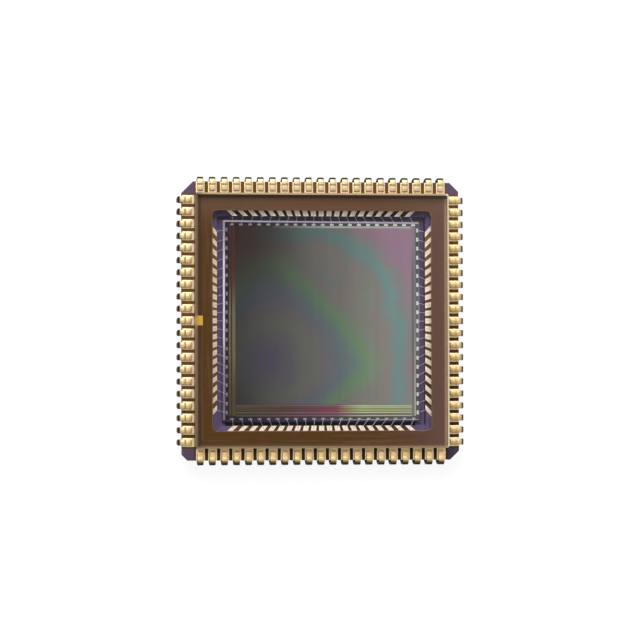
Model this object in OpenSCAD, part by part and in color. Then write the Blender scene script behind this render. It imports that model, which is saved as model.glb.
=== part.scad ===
// Image sensor in a square ceramic chip carrier with J-shaped leads on all four sides.
// The origin is on the centre line, at the lowest point of the leads. +Z points out of the window.
// Every row of repeated pieces is drawn once, on the +X side, and turned to the other three.
// On that side u runs outward from the centre line and v runs along the row.

/* [Leads] */
// Leads on each side
lead_count = 21; // [19:2:25]
// Distance between neighbouring leads
lead_pitch = 1.27; // [1.25:0.01:1.3]
// Width of a lead on the ledge and over the top bend
lead_w = 0.64; // [0.56:0.02:0.76]
// Width of a lead down its leg and round the curl
leg_w = 0.46; // [0.36:0.02:0.56]
// Thickness of the lead strip
lead_t = 0.20; // [0.15:0.01:0.25]
// How far a lead stands out past the ceramic
lead_reach = 0.50; // [0.45:0.01:0.6]
// Length of the foot that is brazed to the ledge
foot_len = 0.95; // [0.85:0.05:1]
// Rise of the small step in the foot
joggle_h = 0.08; // [0.02:0.01:0.1]
// Outer radius of the top bend
top_bend_r = 0.50; // [0.4:0.02:0.54]
// Outer radius of the curl under the body
curl_r = 0.90; // [0.7:0.02:0.92]
// Angle that the curl turns through
curl_sweep = 168; // [100:1:175]

/* [Ceramic body] */
// Ceramic past the centre of the last lead, at each end of a row
body_margin = 1.90; // [1.85:0.05:2.2]
// Gap between the lowest point of the leads and the ceramic
standoff = 1.15; // [1.05:0.05:1.4]
// Thickness of the floor layer
base_t = 0.60; // [0.4:0.05:0.9]
// Height of the layer that carries the bond shelf and the ledge
shelf_t = 0.80; // [0.6:0.05:1]
// Height of the window tier
tier_t = 0.95; // [0.6:0.05:1.2]
// Width of the ledge outside the window tier
ledge_w = 1.275; // [1.2:0.025:1.4]
// Wall of the window tier
tier_wall = 1.70; // [1.6:0.025:1.85]
// Width of the bond shelf inside the window tier
shelf_w = 0.64; // [0.5:0.02:0.7]
// Corner cut at the right rear, left rear, left front and right front
corner_cuts = [0.95, 1.15, 0.60, 0.95];
// Corner radius of the opening in the window tier
opening_r = 0.70; // [0.4:0.05:1]
// Corner radius of the die cavity
cavity_r = 0.30; // [0.1:0.05:0.5]

/* [Metallisation] */
// Width of a bond finger, measured along the row
finger_w = 0.54; // [0.4:0.02:0.6]
// Spacing of the finger tips at the middle of a row
finger_pitch = 0.796; // [0.75:0.002:0.84]
// How fast that spacing grows towards the corners
finger_spread = 0.00111; // [0.0008:0.00001:0.0013]
// Slant that each finger adds to the one before it
finger_slant = 0.11; // [0.08:0.01:0.12]
// Width of the hidden trace between finger and lead pad
trace_w = 0.24; // [0.16:0.02:0.28]
// Width of a lead pad on the ledge
lead_pad_w = 0.92; // [0.9:0.01:1]
// Thickness of the metal
metal_t = 0.04; // [0.02:0.01:0.06]
// Length of the gold index mark, from the edge of the tier inward
mark_len = 0.75; // [0.5:0.05:1]
// Width of the index mark
mark_w = 1.00; // [0.6:0.05:1.2]

/* [Die] */
// Gap between the die and the left or right cavity wall
die_gap_x = 0.60; // [0.5:0.01:0.7]
// Gap between the die and the front or rear cavity wall
die_gap_y = 0.46; // [0.4:0.01:0.7]
// Thickness of the die adhesive
attach_t = 0.05; // [0.02:0.01:0.1]
// Spacing of the pads on the die
die_pad_pitch = 0.957; // [0.9:0.001:0.96]
// Length of a die pad along its row
die_pad_len = 0.40; // [0.2:0.02:0.5]
// Width of a die pad across its row
die_pad_w = 0.20; // [0.12:0.01:0.22]
// Height of the layers that show on the die
relief_h = 0.012; // [0.004:0.002:0.02]

/* [Bond wires] */
// Diameter of the wire
wire_d = 0.04; // [0.025:0.005:0.05]
// Height of the loop above the fingers
loop_h = 0.22; // [0.15:0.01:0.4]
// Length of the flattened end of a wire
wedge_len = 0.14; // [0.1:0.01:0.18]

/* [Window] */
// Thickness of the adhesive under the window
glue_t = 0.06; // [0.03:0.01:0.1]
// How far the adhesive bulges into the opening
glue_bulge = 0.07; // [0.02:0.01:0.12]
// Thickness of the window
glass_t = 1.00; // [0.5:0.05:1.2]
// Width of the bevel round the window's upper face
glass_bevel = 0.20; // [0.1:0.05:0.35]
// Size of the cut at the window's corners
glass_corner = 0.20; // [0.1:0.05:0.4]

/* [Hidden] */

$fn = 48;

// The four sides, as quarter turns from +X
RIGHT = 0;
REAR = 1;
LEFT = 2;
FRONT = 3;

// Colours, as the photograph shows them
gold = [0.86, 0.72, 0.47];
mark_gold = [0.84, 0.66, 0.24];
ceramic_violet = [0.33, 0.26, 0.34];
silicon_grey = [0.38, 0.38, 0.37];
aluminium_grey = [0.78, 0.77, 0.78];
glue_brown = [0.34, 0.24, 0.14];
paste_grey = [0.45, 0.44, 0.45];
window_clear = [0.85, 0.90, 0.90, 0.35];

// Plan sizes, each worked out from the one outside it. half_ values run from the centre line.
last = (lead_count - 1) / 2;
half_body = last * lead_pitch + body_margin;
half_tier = half_body - ledge_w;
half_opening = half_tier - tier_wall;
half_cavity = half_opening - shelf_w;
half_die = [half_cavity - die_gap_x, half_cavity - die_gap_y];

// Heights, each built on the one below it
floor_z = standoff + base_t;
shelf_z = floor_z + shelf_t;
tier_z = shelf_z + tier_t;
glass_z = tier_z + glue_t;
// The metal is pressed half its thickness into the ceramic
metal_z = shelf_z - metal_t / 2;
land_z = shelf_z + metal_t / 2;
// The pads on the die lie level with the fingers
die_z = floor_z + attach_t;
die_top = land_z - relief_h;

// The pixel array leaves more silicon free at the left and in front than at the right and rear
array_low = [1.37, 1.75] - half_die;
array_high = half_die - [0.83, 0.58];

// Height of the register bands below the array, each as [gap above it, its own height]
register_bands = [[0.05, 0.40], [0.07, 0.18], [0.05, 0.17], [0.04, 0.27]];
left_strip_w = 0.70;
array_gap = 0.03;
rail_w = 0.18;
rail_gap = 0.25;
// Bright edge strip on the left and at the rear of the die
edge_strip = [0.22, 0.18];
edge_inset = 0.03;
die_bevel = 0.02;
// How far the adhesive swells out from under the die
attach_fillet = 0.08;

// Distance of each die pad row from its own edge of the die, and its shift along the side
pad_row_inset = [0.22, 0.44, 0.42, 0.25];
pad_row_shift = [-0.04, -0.16, 0.04, 0.16];

// Stretches of a trace: where the wire lands on the finger, how far the finger runs on under
// the window tier, its narrowing, the neck, and the gap between the tier and the lead pad
wire_landing = 0.22;
finger_hidden = 0.18;
finger_taper = 0.12;
neck_taper = 0.10;
neck_len = 0.10;
neck_w = 0.40;
pad_clearance = 0.02;

// The same places, measured outward from the centre line
half_land = half_cavity + wire_landing;
finger_end = half_opening + finger_hidden;
trace_start = finger_end + finger_taper;
neck_start = half_tier - neck_len;
trace_end = neck_start - neck_taper;
pad_start = half_tier + pad_clearance;

// The braze covers the pad up to these margins and slopes up to the foot, part way up its sides.
// The slopes are drawn on into the foot by braze_bite, so that they meet it cleanly.
braze_bed = 0.03;
braze_h = 0.15;
braze_side = 0.44;
braze_margin = [0.08, 0.02];
braze_bite = 0.02;
foot_z = land_z + braze_bed;

// The lead: flat part of the foot, run of its small step, and the narrowing of the leg
lead_out = half_body + lead_reach;
foot_in = half_body - foot_len;
foot_flat = 0.55;
joggle_run = 0.20;
joggle_in = foot_in + foot_flat;
joggle_out = joggle_in + joggle_run;
lead_top = foot_z + joggle_h + lead_t;
leg_start = 0.55;
shoulder_run = 0.25;
shoulder_high = shelf_z - leg_start;
shoulder_low = shoulder_high - shoulder_run;

// Distance along the row of finger k's tip, counted from the middle finger
function finger_tip(k) = k * (finger_pitch + finger_spread * k * k);
// Distance along the row of finger k's centre line at u
function finger_v(k, u) = finger_tip(k) + (u - half_cavity) * finger_slant * k;
// How much wider than itself a strip measures along the row when it slants by slope
function along(slope) = sqrt(1 + slope * slope);
// Distance of a side's pad row from the centre line
function pad_row_u(side) = half_die[side % 2] - pad_row_inset[side];
// Place of pad k along its side
function pad_v(side, k) = pad_row_shift[side] + k * die_pad_pitch;

// Turns what is drawn on the +X side to another side
module on_side(side) {
    rotate([0, 0, 90 * side]) children();
}

// Repeats a piece for every lead of one side
module each_lead(side) {
    on_side(side)
        for (k = [-last : last])
            translate([0, k * lead_pitch, 0]) children();
}

// A prism whose outline lies in the u-z plane, centred on v
module side_prism(width) {
    rotate([90, 0, 0])
        linear_extrude(height = width, center = true) children();
}

// A prism whose outline lies in the v-z plane, starting at u = 0
module front_prism(length) {
    rotate([90, 0, 90])
        linear_extrude(height = length) children();
}

// A square outline with four round corners
module rounded_square(half, r) {
    union() {
        square([2 * half, 2 * (half - r)], center = true);
        square([2 * (half - r), 2 * half], center = true);
        for (x = [-1, 1], y = [-1, 1])
            translate([x * (half - r), y * (half - r)]) circle(r = r);
    }
}

// A square outline with a straight cut of its own size at each corner
module cut_square(half, cuts) {
    difference() {
        square(2 * half, center = true);
        for (i = [0 : 3])
            rotate(90 * i)
                translate([half, half])
                    rotate(45) square(sqrt(2) * cuts[i], center = true);
    }
}

// Part of a ring, from angle a0 to angle a1
module ring_sector(outer, inner, a0, a1) {
    steps = 4;
    reach = 2 * outer;
    intersection() {
        difference() {
            circle(r = outer);
            circle(r = inner);
        }
        polygon(concat([[0, 0]], [
            for (i = [0 : steps])
                let (a = a0 + (a1 - a0) * i / steps) reach * [cos(a), sin(a)]
        ]));
    }
}

// A flat block whose upper edges are bevelled all round, standing on z = 0
module bevelled_block(size, bevel, bevel_z) {
    intersection() {
        side_prism(size.y) bevelled_outline(size.x, size.z, bevel, bevel_z);
        rotate([0, 0, 90])
            side_prism(size.x) bevelled_outline(size.y, size.z, bevel, bevel_z);
    }
}

module bevelled_outline(width, height, bevel, bevel_z) {
    polygon([
        [-width / 2, 0], [width / 2, 0],
        [width / 2, height - bevel_z], [width / 2 - bevel, height],
        [bevel - width / 2, height], [-width / 2, height - bevel_z]
    ]);
}

// Outline of finger, trace and lead pad k, cut from one sheet of metal.
// Each row of stations is [u, centre along the row, width along the row].
module trace_outline(k) {
    centre = k * lead_pitch;
    slope = (centre - finger_v(k, trace_start)) / (trace_end - trace_start);
    run = trace_w * along(slope);
    // The outer edge of a steep run meets the neck's edge, clear of the next side's run
    run_end = centre - sign(k) * max(0, run - neck_w) / 2;
    stations = [
        [half_cavity, finger_v(k, half_cavity), finger_w],
        [finger_end, finger_v(k, finger_end), finger_w],
        [trace_start, finger_v(k, trace_start), run],
        [trace_end, run_end, run],
        [neck_start, centre, neck_w],
        [pad_start, centre, neck_w],
        [pad_start, centre, lead_pad_w],
        [half_body, centre, lead_pad_w]
    ];
    ends = len(stations) - 1;
    polygon(concat(
        [for (i = [0 : ends]) [stations[i][0], stations[i][1] - stations[i][2] / 2]],
        [for (i = [ends : -1 : 0]) [stations[i][0], stations[i][1] + stations[i][2] / 2]]
    ));
}

module bond_traces(side) {
    color(gold)
        on_side(side)
            translate([0, 0, metal_z])
                for (k = [-last : last])
                    linear_extrude(height = metal_t) trace_outline(k);
}

// The fired ceramic: floor, shelf layer and window tier in one piece, with the beds of the metal
module ceramic_carrier() {
    color(ceramic_violet)
        difference() {
            union() {
                translate([0, 0, standoff])
                    linear_extrude(height = base_t + shelf_t)
                        cut_square(half_body, corner_cuts);
                translate([0, 0, floor_z])
                    linear_extrude(height = shelf_t + tier_t)
                        rounded_square(half_tier, cavity_r);
            }
            translate([0, 0, floor_z])
                linear_extrude(height = shelf_t + tier_t)
                    rounded_square(half_cavity, cavity_r);
            translate([0, 0, shelf_z])
                linear_extrude(height = 2 * tier_t) rounded_square(half_opening, opening_r);
            for (side = [RIGHT : FRONT])
                bond_traces(side);
        }
}

// Gold patch on the tier's upper face, beside the middle lead of the left side
module index_mark() {
    color(mark_gold)
        translate([-half_tier + glue_bulge / 2, -mark_w / 2, tier_z])
            cube([mark_len, mark_w, glue_t]);
}

// Outline of the J-lead seen from its edge: foot, small step, top bend, leg and curl
module lead_outline() {
    bend_u = lead_out - top_bend_r;
    bend_z = lead_top - top_bend_r;
    curl_u = lead_out - curl_r;
    union() {
        polygon([
            [foot_in, foot_z], [joggle_in, foot_z],
            [joggle_out, foot_z + joggle_h], [bend_u, foot_z + joggle_h],
            [bend_u, lead_top], [joggle_out, lead_top],
            [joggle_in, foot_z + lead_t], [foot_in, foot_z + lead_t]
        ]);
        translate([bend_u, bend_z])
            ring_sector(top_bend_r, top_bend_r - lead_t, 0, 90);
        translate([lead_out - lead_t, curl_r])
            square([lead_t, bend_z - curl_r]);
        translate([curl_u, curl_r])
            ring_sector(curl_r, curl_r - lead_t, -curl_sweep, 0);
    }
}

// Outline of the lead seen from outside: wide over the top, narrower down the leg
module lead_elevation() {
    wide = lead_w / 2;
    narrow = leg_w / 2;
    polygon([
        [-wide, lead_top + 1], [-wide, shoulder_high],
        [-narrow, shoulder_low], [-narrow, -1],
        [narrow, -1], [narrow, shoulder_low],
        [wide, shoulder_high], [wide, lead_top + 1]
    ]);
}

module lead() {
    intersection() {
        side_prism(lead_w) lead_outline();
        front_prism(2 * half_body) lead_elevation();
    }
}

module leads(side) {
    color(gold) each_lead(side) lead();
}

// The brazed joint: a low mound on the pad that rises round the foot of the lead
module braze_joint() {
    low = pad_start + braze_margin[0];
    high = half_body - braze_margin[1];
    crest = lead_w / 2 - braze_bite;
    crest_z = land_z + braze_h;
    difference() {
        intersection() {
            side_prism(2 * braze_side)
                polygon([
                    [low, land_z], [high, land_z],
                    [high, crest_z], [foot_in + braze_bite, crest_z]
                ]);
            front_prism(2 * half_body)
                polygon([
                    [-braze_side, land_z], [braze_side, land_z],
                    [crest, crest_z], [-crest, crest_z]
                ]);
        }
        side_prism(lead_w) lead_outline();
    }
}

module braze(side) {
    color(gold) each_lead(side) braze_joint();
}

module die_attach() {
    half = [half_die.x + attach_fillet, half_die.y + attach_fillet];
    color(paste_grey)
        translate([0, 0, floor_z])
            bevelled_block(
                [2 * half.x, 2 * half.y, attach_t], attach_fillet / 2, attach_t / 2
            );
}

// A layer that stands relief_h proud of the die and reaches as far into it, from corner low to
// corner high
module die_layer(low, high) {
    translate([low.x, low.y, die_top - relief_h])
        cube([high.x - low.x, high.y - low.y, 2 * relief_h]);
}

// Height of everything in the register bands above band i
function bands_above(i) =
    i == 0 ? 0 : bands_above(i - 1) + register_bands[i - 1][0] + register_bands[i - 1][1];

// The silicon, with the pixel array, its registers and its edge strips standing proud
module sensor_die() {
    edge_low = [edge_inset, edge_inset] - half_die;
    edge_high = -edge_low;
    band_count = len(register_bands);
    band_low = array_low.y - bands_above(band_count);
    color(silicon_grey)
        union() {
            translate([0, 0, die_z])
                bevelled_block(
                    [2 * half_die.x, 2 * half_die.y, die_top - die_z], die_bevel, die_bevel
                );
            die_layer(array_low, array_high);
            die_layer(
                [array_low.x - array_gap - left_strip_w, band_low],
                [array_low.x - array_gap, array_high.y]
            );
            for (i = [0 : band_count - 1])
                let (top = array_low.y - bands_above(i) - register_bands[i][0])
                    die_layer(
                        [array_low.x, top - register_bands[i][1]],
                        [array_high.x, top]
                    );
            die_layer(
                [array_high.x + rail_gap, band_low],
                [array_high.x + rail_gap + rail_w, array_high.y]
            );
            die_layer(edge_low, [edge_low.x + edge_strip.x, edge_high.y]);
            die_layer([edge_low.x, edge_high.y - edge_strip.y], edge_high);
        }
}

module die_pads(side) {
    color(aluminium_grey)
        on_side(side)
            for (k = [-last : last])
                translate([
                    pad_row_u(side) - die_pad_w / 2,
                    pad_v(side, k) - die_pad_len / 2,
                    die_top
                ])
                    cube([die_pad_w, die_pad_len, relief_h]);
}

// One round wire from the origin to a point at u = run, at the same height: an arc that rises
// to loop_h, with a flattened wedge at each end
module wire_loop(run) {
    wedge_w = 1.8 * wire_d;
    wedge_t = 0.75 * wire_d;
    axis_z = 0.45 * wire_d;
    height = loop_h - axis_z;
    half = run / 2;
    bend_r = (half * half + height * height) / (2 * height);
    sweep = 2 * atan(height / half);
    for (end = [0, run])
        translate([end - wedge_len / 2, -wedge_w / 2, 0])
            cube([wedge_len, wedge_w, wedge_t]);
    translate([half, 0, loop_h - bend_r])
        rotate([90, 0, 0])
            rotate([0, 0, 90 - sweep])
                rotate_extrude(angle = 2 * sweep)
                    translate([bend_r, 0]) circle(d = wire_d);
}

module bond_wires(side) {
    color(aluminium_grey)
        on_side(side)
            for (k = [-last : last])
                let (
                    from = [pad_row_u(side), pad_v(side, k)],
                    to = [half_land, finger_v(k, half_land)],
                    step = to - from
                )
                    translate([from.x, from.y, land_z])
                        rotate([0, 0, atan2(step.y, step.x)])
                            wire_loop(norm(step));
}

// Adhesive ring between tier and window, with a lip that hangs in the opening
module window_adhesive() {
    lip = 0.05;
    inset = glue_bulge / 2;
    color(glue_brown)
        difference() {
            union() {
                translate([0, 0, tier_z])
                    linear_extrude(height = glue_t)
                        rounded_square(half_tier - inset, cavity_r - inset);
                translate([0, 0, tier_z - lip])
                    linear_extrude(height = lip + glue_t / 2)
                        rounded_square(half_opening, opening_r);
            }
            translate([0, 0, tier_z - 2 * lip])
                linear_extrude(height = glue_t + 4 * lip)
                    rounded_square(half_opening - glue_bulge, opening_r - glue_bulge);
            index_mark();
        }
}

// The window: a clear plate with bevelled upper edges and small cuts at its corners
module glass_window() {
    color(window_clear)
        translate([0, 0, glass_z])
            intersection() {
                bevelled_block(
                    [2 * half_tier, 2 * half_tier, glass_t], glass_bevel, glass_bevel
                );
                linear_extrude(height = glass_t)
                    cut_square(half_tier, [for (i = [0 : 3]) glass_corner]);
            }
}

ceramic_carrier();
index_mark();
die_attach();
sensor_die();
die_pads(RIGHT);  // die_pads_right
die_pads(REAR);  // die_pads_rear
die_pads(LEFT);  // die_pads_left
die_pads(FRONT);  // die_pads_front
bond_wires(RIGHT);  // bond_wires_right
bond_wires(REAR);  // bond_wires_rear
bond_wires(LEFT);  // bond_wires_left
bond_wires(FRONT);  // bond_wires_front
bond_traces(RIGHT);  // bond_traces_right
bond_traces(REAR);  // bond_traces_rear
bond_traces(LEFT);  // bond_traces_left
bond_traces(FRONT);  // bond_traces_front
braze(RIGHT);  // braze_right
braze(REAR);  // braze_rear
braze(LEFT);  // braze_left
braze(FRONT);  // braze_front
leads(RIGHT);  // leads_right
leads(REAR);  // leads_rear
leads(LEFT);  // leads_left
leads(FRONT);  // leads_front
window_adhesive();
glass_window();
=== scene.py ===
# %% [markdown]
# This notebook dresses an image sensor in a ceramic chip carrier. The solids are finished
# already: a fired ceramic body with a stepped cavity, 84 gold-plated J-leads brazed to its
# ledge, a silicon die wired to printed gold fingers, and a glass window glued on top. Each of
# them gets its finish here. The leads, their solder and the adhesive's bead are modelled again
# with soft edges that catch the light, and a camera, a floor and lights are set round them.

import math

import bmesh
import bpy
from mathutils import Matrix, Vector


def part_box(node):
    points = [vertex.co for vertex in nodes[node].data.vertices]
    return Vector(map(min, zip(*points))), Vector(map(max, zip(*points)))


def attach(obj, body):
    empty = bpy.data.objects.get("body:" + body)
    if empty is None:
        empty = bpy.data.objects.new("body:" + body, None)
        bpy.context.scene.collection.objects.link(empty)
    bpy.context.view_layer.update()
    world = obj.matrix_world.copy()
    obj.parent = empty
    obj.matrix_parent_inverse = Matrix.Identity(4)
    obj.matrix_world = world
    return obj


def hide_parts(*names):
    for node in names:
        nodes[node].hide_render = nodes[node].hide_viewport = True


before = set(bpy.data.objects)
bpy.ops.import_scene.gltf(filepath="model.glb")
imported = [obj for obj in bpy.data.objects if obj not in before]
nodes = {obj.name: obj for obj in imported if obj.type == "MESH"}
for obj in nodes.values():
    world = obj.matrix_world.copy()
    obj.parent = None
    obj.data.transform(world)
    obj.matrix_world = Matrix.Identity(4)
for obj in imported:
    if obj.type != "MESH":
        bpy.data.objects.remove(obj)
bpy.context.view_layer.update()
MM = 0.001

# %% [markdown]
# Every side of the carrier has the same pieces, so their names follow one rule. The boxes of a
# few nodes give the heights and widths that the finishes and new pieces need, in millimetres
# from the centre line and from the board.

# %% Read the sizes of the solids
SIDES = ("right", "rear", "left", "front")


def side_nodes(kind):
    """The names of a kind of piece on the four sides."""
    return [f"{kind}_{side}" for side in SIDES]


def box_mm(node):
    """The lowest and the highest corner of a node."""
    low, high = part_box(node)
    return low / MM, high / MM


die_low, die_high = box_mm("sensor_die")
braze_low, braze_high = box_mm("braze_right")
leads_high = box_mm("leads_right")[1]
glue_high = box_mm("window_adhesive")[1]
HALF_TIER = box_mm("glass_window")[1].x
HALF_BODY = box_mm("ceramic_carrier")[1].x
HALF_CAVITY = box_mm("bond_traces_right")[0].x
print("die", tuple(round(c, 3) for c in die_low), tuple(round(c, 3) for c in die_high))

# %% [markdown]
# The chip is photographed from nearly straight above. The camera stands a little to the left,
# so the outer legs of the left row just show, and still less to the front, and it is rolled by
# a fraction of a degree. A long lens keeps the four sides of the chip parallel. The distance
# follows from the lens and from how wide the picture is at the chip.

# %% Place the camera
LENS_MM = 171
SENSOR_MM = 36
PICTURE_WIDTH = 67.1 * MM
LEAN_LEFT = math.radians(6.5)
LEAN_FRONT = math.radians(1.7)
ROLL = math.radians(-0.13)
aim = Vector((-0.15 * MM, 0.09 * MM, leads_high.z * MM))
distance = PICTURE_WIDTH / 2 / (SENSOR_MM / 2 / LENS_MM)
sight = Vector((math.tan(LEAN_LEFT), math.tan(LEAN_FRONT), -1)).normalized()
camera_data = bpy.data.cameras.new("camera")
camera_data.lens = LENS_MM
camera_data.sensor_width = SENSOR_MM
camera = bpy.data.objects.new("camera", camera_data)
bpy.context.scene.collection.objects.link(camera)
right = sight.cross(Vector((0, 1, 0))).normalized()
up = right.cross(sight)
turn = Matrix((right, up, -sight)).transposed()
roll = Matrix.Rotation(ROLL, 4, "Z")
camera.matrix_world = Matrix.Translation(aim - sight * distance) @ turn.to_4x4() @ roll
bpy.context.scene.camera = camera
print("camera stands", round(distance / MM), "mm from the chip")

# %% [markdown]
# A picture editor gives a colour as three numbers from 0 to 255, on a scale bent to suit the
# eye. A shader wants the plain share of light. Colours are written here the first way, because
# that is how they are read off a photograph, and one function turns them into the second.


# %% Turn a colour into light
def tone(red, green, blue):
    """The colour that a shader wants for one that a picture editor shows."""
    channels = [c / 255 for c in (red, green, blue)]
    linear = [c / 12.92 if c <= 0.04045 else ((c + 0.055) / 1.055) ** 2.4 for c in channels]
    return (*linear, 1)


print("128 of 255 is", round(tone(128, 128, 128)[0], 3), "of the light that white gives back")

# %% [markdown]
# A finish is a tree of nodes. It could be wired by hand in the shader editor, but a script that
# does it can work out every place from the part's own sizes. This class adds nodes one by one
# and joins them. A share is a number from 0 to 1 that says how much of a colour is laid on.


# %% Add nodes and join them
class NodeTree:
    """Adds nodes to a tree and joins their sockets."""

    def __init__(self, tree):
        self.tree = tree

    def join(self, value, socket):
        """Links a socket, or sets a plain value."""
        if isinstance(value, bpy.types.NodeSocket):
            self.tree.links.new(value, socket)
        else:
            socket.default_value = value

    def node(self, kind, settings=None, **inputs):
        """Adds a node. An input's name has _ for each space."""
        made = self.tree.nodes.new(kind)
        for name, value in (settings or {}).items():
            setattr(made, name, value)
        for name, value in inputs.items():
            self.join(value, made.inputs[name.replace("_", " ")])
        return made

    def math(self, operation, *values):
        """Adds a node that calculates, and gives back its result."""
        made = self.node("ShaderNodeMath", {"operation": operation})
        for value, socket in zip(values, made.inputs):
            self.join(value, socket)
        return made.outputs[0]

    def both(self, first, second):
        """The product of two shares, which is 1 where both are 1."""
        return self.math("MULTIPLY", first, second)

    def mix(self, share, below, above, blend="MIX"):
        """Lays the colour above over the one below."""
        made = self.node("ShaderNodeMix", {"data_type": "RGBA", "blend_type": blend})
        for value, socket in zip((share, below, above), (made.inputs[0], *made.inputs[6:8])):
            self.join(value, socket)
        return made.outputs[2]

    def dim(self, share, colour, filter_tone):
        """Dims a colour as a filter of the given tone would."""
        return self.mix(share, colour, filter_tone, "MULTIPLY")

    def layer(self, share, below, above):
        """Lays one shader over another."""
        made = self.node("ShaderNodeMixShader", Fac=share)
        self.tree.links.new(below, made.inputs[1])
        self.tree.links.new(above, made.inputs[2])
        return made.outputs[0]

    def blend(self, value, low, high, start=0.0, end=1.0):
        """Goes smoothly from start to end as value goes from low to high."""
        made = self.node(
            "ShaderNodeMapRange", {"interpolation_type": "SMOOTHSTEP"},
            Value=value, From_Min=low, From_Max=high, To_Min=start, To_Max=end,
        )
        return made.outputs[0]

    def ramp(self, value, stops):
        """A colour that follows value through the stops, each (position, colour)."""
        made = self.node("ShaderNodeValToRGB", Fac=value)
        points = made.color_ramp.elements
        for position, colour in stops[2:]:
            points.new(position)
        for point, (position, colour) in zip(points, stops):
            point.position = position
            point.color = colour
        return made.outputs["Color"]

    def levels(self, value, stops):
        """A grey that follows value through the stops, each (position, level)."""
        return self.ramp(value, [(position, (level,) * 3 + (1,)) for position, level in stops])


# %% [markdown]
# Each finish reads the place on the piece, in millimetres, and works out its colour, roughness
# and relief from it. So every width in a finish is a real one, a pattern never slides when the
# camera moves, and no picture has to be wrapped round a piece.


# %% Start a finish
class Finish(NodeTree):
    """A material under construction."""

    def __init__(self, name, **uniform):
        self.material = bpy.data.materials.new(name)
        self.material.use_nodes = True
        super().__init__(self.material.node_tree)
        self.shader = self.tree.nodes["Principled BSDF"]
        self.output = self.tree.nodes["Material Output"]
        position = self.node("ShaderNodeTexCoord").outputs["Object"]
        scale = self.node("ShaderNodeMapping", Vector=position, Scale=(1 / MM,) * 3)
        self.place = scale.outputs["Vector"]
        self.x, self.y, self.z = self.node("ShaderNodeSeparateXYZ", Vector=self.place).outputs
        self.set(**uniform)

    def set(self, **inputs):
        """Sets or links inputs of the surface shader, such as Base_Color."""
        for name, value in inputs.items():
            self.join(value, self.shader.inputs[name.replace("_", " ")])

    def within(self, value, low, high, soft=0.03):
        """1 between low and high, 0 outside, with soft edges."""
        return self.both(
            self.blend(value, low - soft, low + soft),
            self.blend(value, high - soft, high + soft, 1.0, 0.0),
        )

    def patch(self, low, high, soft=0.03):
        """1 inside the rectangle from corner low to corner high, seen from above."""
        return self.both(
            self.within(self.x, low[0], high[0], soft),
            self.within(self.y, low[1], high[1], soft),
        )

    def from_centre(self):
        """How far a place is from the centre lines: the larger and the smaller distance."""
        across = self.math("ABSOLUTE", self.x)
        along = self.math("ABSOLUTE", self.y)
        return self.math("MAXIMUM", across, along), self.math("MINIMUM", across, along)

    def noise(self, scale, detail=2.0, stretch=(1, 1, 1)):
        """Soft noise from 0 to 1 with the given number of cells in a millimetre."""
        place = self.node("ShaderNodeMapping", Vector=self.place, Scale=stretch).outputs[0]
        return self.node("ShaderNodeTexNoise", Vector=place, Scale=scale, Detail=detail).outputs[0]

    def relief(self, height, depth_mm, strength=1.0):
        """Bump of about depth_mm from a height between 0 and 1."""
        made = self.node("ShaderNodeBump", Height=height, Distance=depth_mm * MM, Strength=strength)
        self.set(Normal=made.outputs["Normal"])


def dress(names, finish):
    """Puts a finish on nodes of the frame."""
    for name in names:
        for slot in nodes[name].material_slots:
            slot.material = finish.material
    print(finish.material.name, "on", ", ".join(names))


# %% [markdown]
# The carrier is pressed from dark alumina tape and fired, which leaves a matt violet-brown
# surface. Noise at two scales gives it a fine grain and faint clouds. A painted shade darkens
# the ledge to the front and right. Inside the window tier the violet is purer, and a painted
# shade makes it dark where little light falls: at the front of the pit, where it is nearly
# black, and on its right wall.

# %% Colour the bare ceramic
CERAMIC_SHINE = 0.3
RIM_PAINTED_SHADE = (-4, 22)
PIT_FRONT_PAINTED_SHADE = ((-10.0, -HALF_CAVITY), (10.0, die_low.y + 0.1))
PIT_WALL_RIGHT_PAINTED_SHADE = ((HALF_CAVITY - 0.03, -HALF_CAVITY), (HALF_CAVITY + 0.02, HALF_CAVITY))
ceramic = Finish("fired_ceramic", Roughness=0.62, Specular_IOR_Level=CERAMIC_SHINE)
grain = ceramic.noise(18, detail=4)
cloud = ceramic.noise(0.35, detail=3)
violet = ceramic.mix(grain, tone(72, 52, 76), tone(104, 80, 106))
violet = ceramic.mix(cloud, violet, tone(96, 74, 96))

far_out, far_in = ceramic.from_centre()
toward_front = ceramic.math("SUBTRACT", ceramic.math("MULTIPLY", ceramic.x, 0.5), ceramic.y)
rim = ceramic.blend(far_out, HALF_TIER - 0.1, HALF_TIER)
# Painted shade: the ledge's rim darker to the front and right.
rim_painted_shade = ceramic.both(ceramic.blend(toward_front, *RIM_PAINTED_SHADE), rim)
violet = ceramic.mix(rim_painted_shade, violet, tone(58, 44, 62))
inside = ceramic.blend(far_out, HALF_TIER - 1.5, HALF_TIER - 1.0, 0.8, 0.0)
violet = ceramic.mix(inside, violet, tone(76, 57, 98))
# Painted shade: the front of the pit nearly black, and its right wall dark.
pit_front_painted_shade = ceramic.patch(*PIT_FRONT_PAINTED_SHADE)
violet = ceramic.mix(pit_front_painted_shade, violet, tone(18, 8, 26))
violet = ceramic.mix(ceramic.patch(*PIT_WALL_RIGHT_PAINTED_SHADE, soft=0.01), violet, tone(40, 24, 40))
print("the pit is", round(2 * HALF_CAVITY, 2), "mm wide")
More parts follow.
